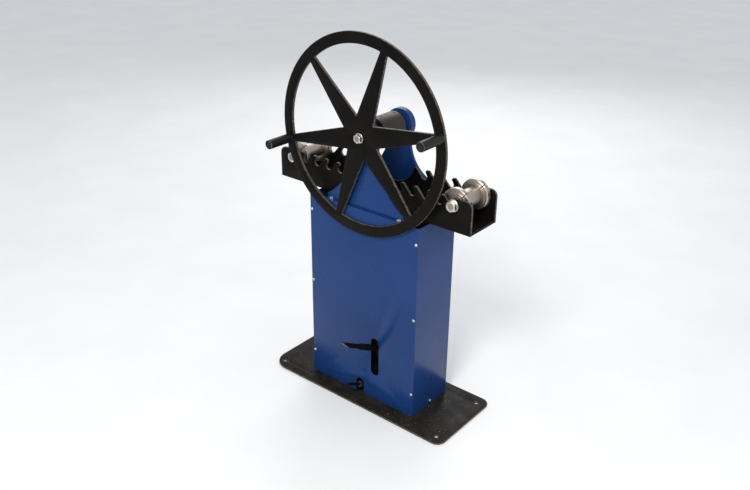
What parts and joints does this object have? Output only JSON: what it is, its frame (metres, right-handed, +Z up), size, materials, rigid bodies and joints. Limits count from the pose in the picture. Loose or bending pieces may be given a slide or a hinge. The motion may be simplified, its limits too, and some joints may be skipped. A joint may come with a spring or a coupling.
{
  "type": "manual three-roll profile bender",
  "caption": "Free-standing manual three-roll bender: a handwheel drives the centre roller, and a foot-pumped bottle jack lifts a notched beam with two side rollers.",
  "frame": {"origin": "on the floor, under the middle of the case, on the underside of the base plate", "axes": "+Z up; +X along the beam to the right of the person at the handwheel; +Y towards the back, away from the handwheel"},
  "size_m": [0.732, 0.3884, 1.1975],
  "materials": {
    "blue_paint": "blue powder coat, satin, fine orange peel",
    "black_paint": "black paint, satin, worn along the edges",
    "grip_black": "black, satin, rubbed bright at the rims",
    "machined_steel": "turned steel with fine tool marks",
    "dark_steel": "dark turned steel, lightly oiled",
    "zinc": "bright zinc plate",
    "bronze": "machined bronze",
    "jack_enamel": "black gloss enamel"
  },
  "bodies": {
    "frame": {"base_plate": "black_paint", "front_panel": "blue_paint", "back_panel": "blue_paint", "left_side_panel": "blue_paint", "right_side_panel": "blue_paint", "front_upright": "blue_paint", "rear_upright": "blue_paint", "rear_bearing_housing": "blue_paint", "front_bearing": "bronze", "rear_bearing": "bronze", "front_tie_angle": "blue_paint", "rear_tie_angle": "blue_paint", "left_tie_bolt": "zinc", "right_tie_bolt": "zinc", "upper_guide_collar": "dark_steel", "lower_guide_collar": "dark_steel", "jack_base": "jack_enamel", "jack_tank": "jack_enamel", "jack_cylinder": "machined_steel", "jack_top_nut": "jack_enamel", "pump_cylinder": "jack_enamel", "fulcrum_bracket": "jack_enamel", "fulcrum_pin": "zinc"},
    "drive": {"handwheel": "black_paint", "wheel_hub": "black_paint", "drive_shaft": "dark_steel", "shaft_key": "dark_steel", "hub_bolt": "zinc", "hub_washer": "zinc", "centre_roller": "dark_steel", "left_handle_pin": "grip_black", "right_handle_pin": "grip_black"},
    "left_handle": {"left_grip": "grip_black"},
    "right_handle": {"right_grip": "grip_black"},
    "lift": {"beam_front_plate": "black_paint", "beam_rear_plate": "black_paint", "beam_bottom_plate": "black_paint", "lift_post": "black_paint", "jack_ram": "machined_steel", "jack_saddle": "dark_steel"},
    "left_axle": {"left_axle_bolt": "zinc", "left_axle_washer": "zinc", "left_axle_nut": "zinc"},
    "left_roller": {"left_roller_sleeve": "machined_steel", "left_roller_bush": "bronze", "left_front_ring": "machined_steel", "left_rear_ring": "machined_steel"},
    "right_axle": {"right_axle_bolt": "zinc", "right_axle_washer": "zinc", "right_axle_nut": "zinc"},
    "right_roller": {"right_roller_sleeve": "machined_steel", "right_roller_bush": "bronze", "right_front_ring": "machined_steel", "right_rear_ring": "machined_steel"},
    "lever": {"pump_lever": "black_paint", "pump_pedal": "black_paint"},
    "plunger": {"pump_plunger": "machined_steel"},
    "valve": {"release_valve": "dark_steel", "release_rod": "black_paint"}
  },
  "joints": [
    {"name": "wheel_spin", "type": "hinge", "parent": "frame", "child": "drive", "pos_m": [0, 0, 0.8955], "axis": [0, 1, 0], "continuous": true},
    {"name": "left_grip_spin", "type": "hinge", "parent": "drive", "child": "left_handle", "pos_m": [-0.2815, -0.162, 0.83464], "axis": [0, 1, 0], "continuous": true},
    {"name": "right_grip_spin", "type": "hinge", "parent": "drive", "child": "right_handle", "pos_m": [0.2815, -0.162, 0.95636], "axis": [0, 1, 0], "continuous": true},
    {"name": "beam_lift", "type": "slide", "parent": "frame", "child": "lift", "axis": [0, 0, 1], "range_m": [0, 0.08]},
    {"name": "left_axle_lift", "type": "slide", "parent": "lift", "child": "left_axle", "axis": [0.6561, 0, 0.7547], "range_m": [0, 0.06]},
    {"name": "right_axle_lift", "type": "slide", "parent": "lift", "child": "right_axle", "axis": [-0.6561, 0, 0.7547], "range_m": [0, 0.06]},
    {"name": "left_roller_spin", "type": "hinge", "parent": "left_axle", "child": "left_roller", "pos_m": [-0.305, 0.0045, 0.757], "axis": [0, 1, 0], "continuous": true},
    {"name": "right_roller_spin", "type": "hinge", "parent": "right_axle", "child": "right_roller", "pos_m": [0.305, 0.0045, 0.757], "axis": [0, 1, 0], "continuous": true},
    {"name": "pump_stroke", "type": "hinge", "parent": "frame", "child": "lever", "pos_m": [0.056, -0.005, 0.1525], "axis": [1, 0, 0], "range_deg": [0, 50]},
    {"name": "plunger_slide", "type": "slide", "parent": "frame", "child": "plunger", "axis": [0, 0, 1], "range_m": [-0.029, 0]},
    {"name": "valve_turn", "type": "hinge", "parent": "frame", "child": "valve", "pos_m": [-0.005, -0.085, 0.032], "axis": [0, -0.8838, 0.4679], "range_deg": [0, 270]}
  ],
  "couplings": [
    {"joint": "plunger_slide", "follows": "pump_stroke", "m_per_rad": -0.03263}
  ]
}
